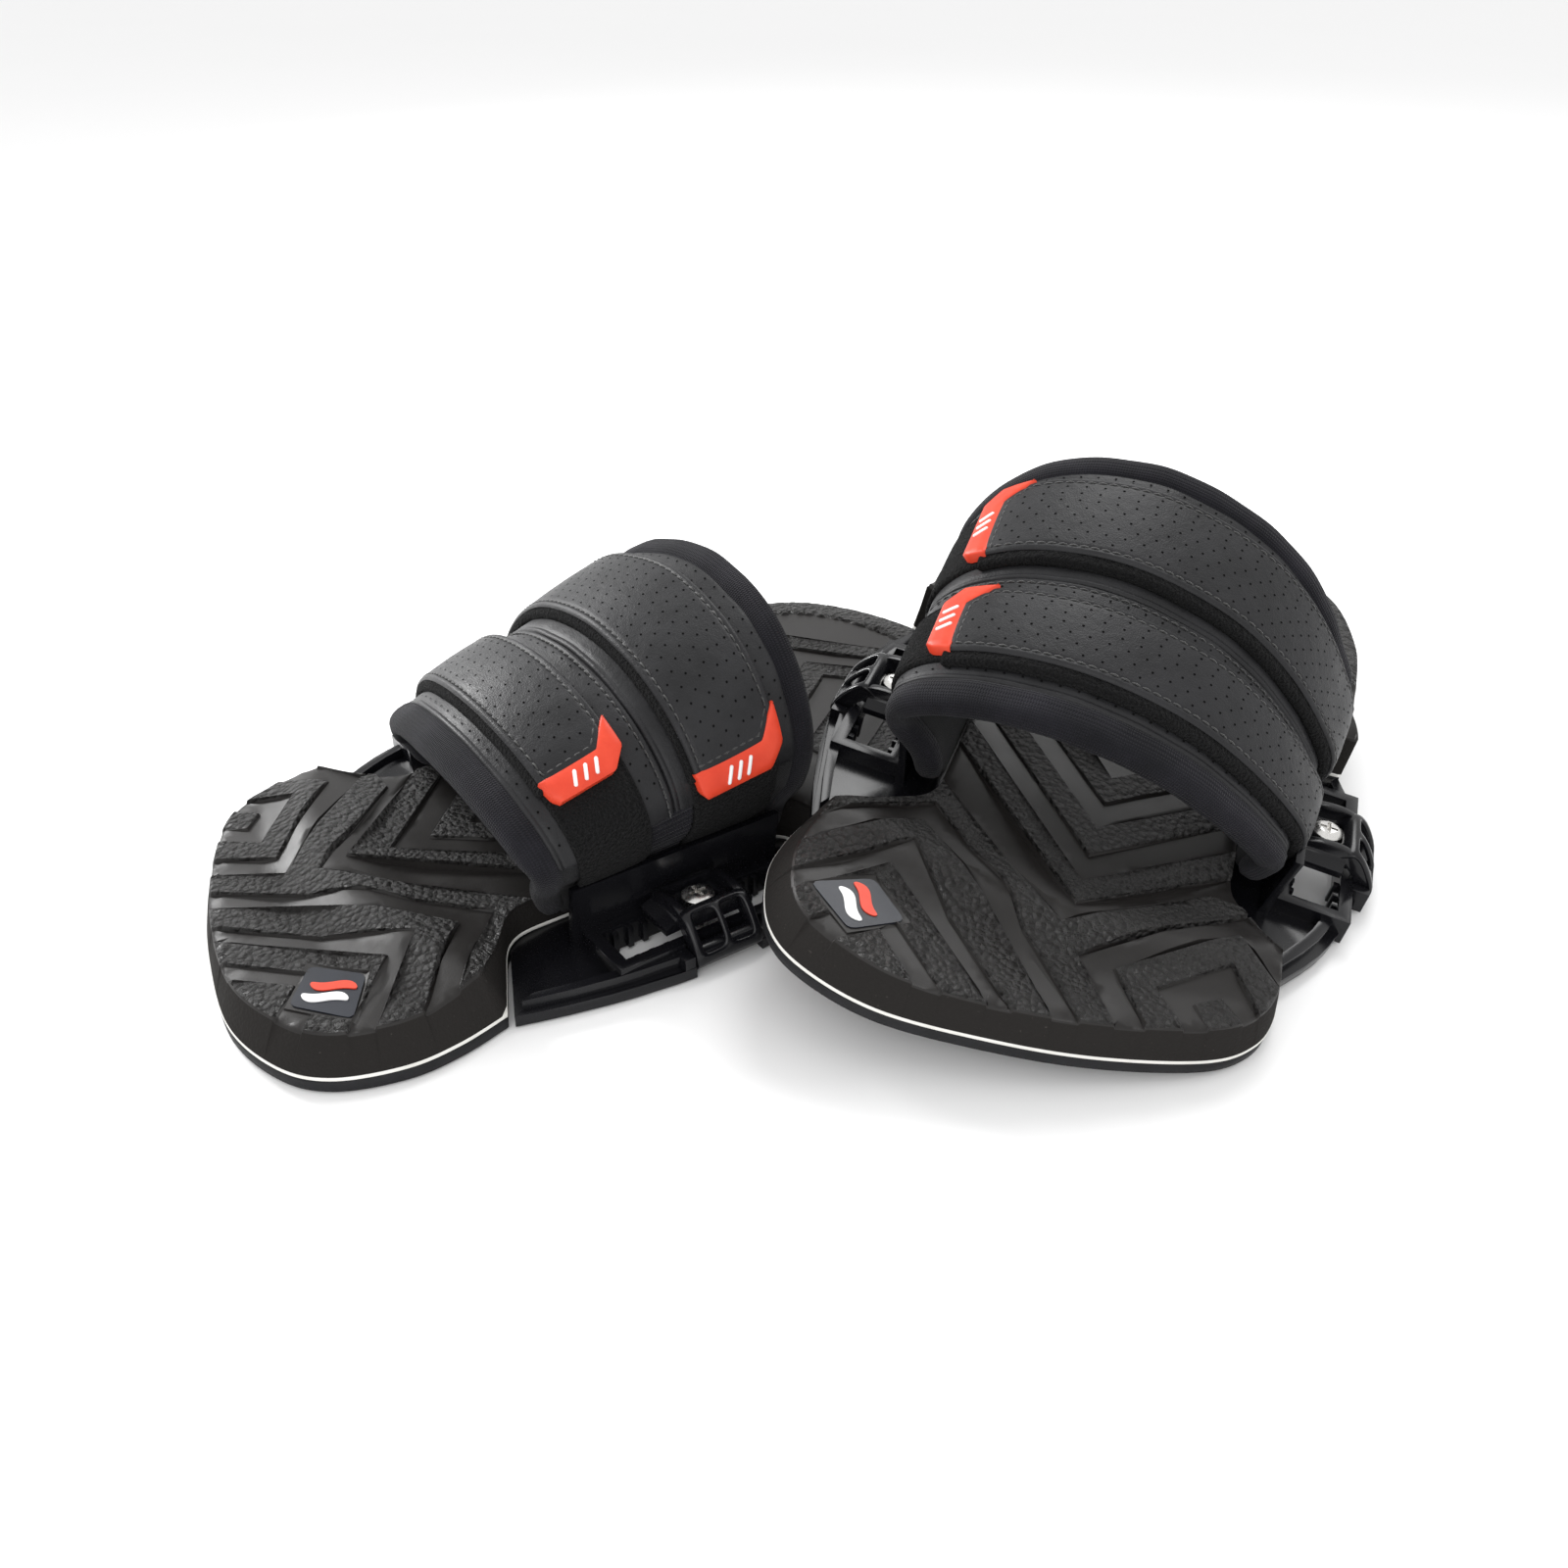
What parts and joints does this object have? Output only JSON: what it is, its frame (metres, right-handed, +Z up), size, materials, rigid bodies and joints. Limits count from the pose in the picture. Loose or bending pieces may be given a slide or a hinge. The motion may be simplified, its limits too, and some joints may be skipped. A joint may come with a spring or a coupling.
{
  "type": "foot binding pair",
  "caption": "Mirrored foot bindings for a water sports board: foam foot pad, moulded chassis with screw clamps, padded instep arch closed by hook-and-loop straps with red pull tabs.",
  "frame": {"origin": "centre of the right binding between its two screws, at the underside of its sole", "axes": "+Z up from the flat right sole, +Y towards the right binding's toe, +X towards its lateral side"},
  "size_m": [0.3446, 0.4822, 0.1378],
  "materials": {
    "rubber_base": "matte",
    "laminate_white": "satin",
    "eva_foam": "fine textured",
    "label_film": "satin",
    "gloss_chassis": "polished",
    "neoprene": "knit faced",
    "loop_fabric": "fuzzy loop pile",
    "leather": "perforated, fine grain",
    "red_tpu": "satin moulded",
    "steel": "polished"
  },
  "bodies": {
    "right_binding": {"right_sole": "rubber_base", "right_laminate": "laminate_white", "right_foam_pad": "eva_foam", "right_badge": "label_film", "right_chassis": "gloss_chassis", "right_strap_pad": "neoprene", "right_front_roll": "neoprene", "right_rear_roll": "neoprene", "right_front_loop_strap": "loop_fabric", "right_rear_loop_strap": "loop_fabric", "right_front_strap_root": "leather", "right_rear_strap_root": "leather"},
    "right_front_flap": {"right_front_strap": "leather", "right_front_tab": "red_tpu"},
    "right_rear_flap": {"right_rear_strap": "leather", "right_rear_tab": "red_tpu"},
    "right_medial_clamp": {"right_medial_clamp": "gloss_chassis"},
    "right_medial_screw": {"right_medial_screw": "steel"},
    "right_lateral_clamp": {"right_lateral_clamp": "gloss_chassis"},
    "right_lateral_screw": {"right_lateral_screw": "steel"},
    "left_binding": {"left_sole": "rubber_base", "left_laminate": "laminate_white", "left_foam_pad": "eva_foam", "left_badge": "label_film", "left_chassis": "gloss_chassis", "left_strap_pad": "neoprene", "left_front_roll": "neoprene", "left_rear_roll": "neoprene", "left_front_loop_strap": "loop_fabric", "left_rear_loop_strap": "loop_fabric", "left_front_strap_root": "leather", "left_rear_strap_root": "leather"},
    "left_front_flap": {"left_front_strap": "leather", "left_front_tab": "red_tpu"},
    "left_rear_flap": {"left_rear_strap": "leather", "left_rear_tab": "red_tpu"},
    "left_medial_clamp": {"left_medial_clamp": "gloss_chassis"},
    "left_medial_screw": {"left_medial_screw": "steel"},
    "left_lateral_clamp": {"left_lateral_clamp": "gloss_chassis"},
    "left_lateral_screw": {"left_lateral_screw": "steel"}
  },
  "joints": [
    {"name": "right_front_strap_peel", "type": "hinge", "parent": "right_binding", "child": "right_front_flap", "pos_m": [0.06567, 0.02449, 0.04691], "axis": [-0.1252, 0.9746, -0.1855], "range_deg": [0, 100]},
    {"name": "right_rear_strap_peel", "type": "hinge", "parent": "right_binding", "child": "right_rear_flap", "pos_m": [0.0713, -0.02038, 0.05576], "axis": [-0.1198, 0.9729, -0.1978], "range_deg": [0, 100]},
    {"name": "right_medial_clamp_lift", "type": "hinge", "parent": "right_binding", "child": "right_medial_clamp", "pos_m": [-0.0995, 0, 0.0065], "axis": [0, -1, 0], "range_deg": [0, 60]},
    {"name": "right_medial_screw_turn", "type": "hinge", "parent": "right_medial_clamp", "child": "right_medial_screw", "pos_m": [-0.083, 0, 0.0157], "axis": [0, 0, 1], "continuous": true},
    {"name": "right_lateral_clamp_lift", "type": "hinge", "parent": "right_binding", "child": "right_lateral_clamp", "pos_m": [0.0995, 0, 0.0065], "axis": [0, 1, 0], "range_deg": [0, 60]},
    {"name": "right_lateral_screw_turn", "type": "hinge", "parent": "right_lateral_clamp", "child": "right_lateral_screw", "pos_m": [0.083, 0, 0.0157], "axis": [0, 0, 1], "continuous": true},
    {"name": "left_front_strap_peel", "type": "hinge", "parent": "left_binding", "child": "left_front_flap", "pos_m": [-0.19473, -0.17549, 0.05315], "axis": [0.4222, -0.8774, 0.2279], "range_deg": [0, 100]},
    {"name": "left_rear_strap_peel", "type": "hinge", "parent": "left_binding", "child": "left_rear_flap", "pos_m": [-0.17525, -0.21583, 0.06396], "axis": [0.4229, -0.8735, 0.2409], "range_deg": [0, 100]},
    {"name": "left_medial_clamp_lift", "type": "hinge", "parent": "left_binding", "child": "left_medial_clamp", "pos_m": [-0.04145, -0.09806, 0.04839], "axis": [-0.574, 0.8155, -0.0735], "range_deg": [0, 60]},
    {"name": "left_medial_screw_turn", "type": "hinge", "parent": "left_medial_clamp", "child": "left_medial_screw", "pos_m": [-0.05642, -0.10808, 0.05409], "axis": [0.2049, 0.0562, -0.9772], "continuous": true},
    {"name": "left_lateral_clamp_lift", "type": "hinge", "parent": "left_binding", "child": "left_lateral_clamp", "pos_m": [-0.19921, -0.21268, 0.00871], "axis": [0.574, -0.8155, 0.0735], "range_deg": [0, 60]},
    {"name": "left_lateral_screw_turn", "type": "hinge", "parent": "left_lateral_clamp", "child": "left_lateral_screw", "pos_m": [-0.18802, -0.20369, 0.02099], "axis": [0.2049, 0.0562, -0.9772], "continuous": true},
    {"name": "left_binding_lift", "type": "slide", "parent": "right_binding", "child": "left_binding", "axis": [0, 0, 1], "range_m": [0, 0.25]}
  ]
}
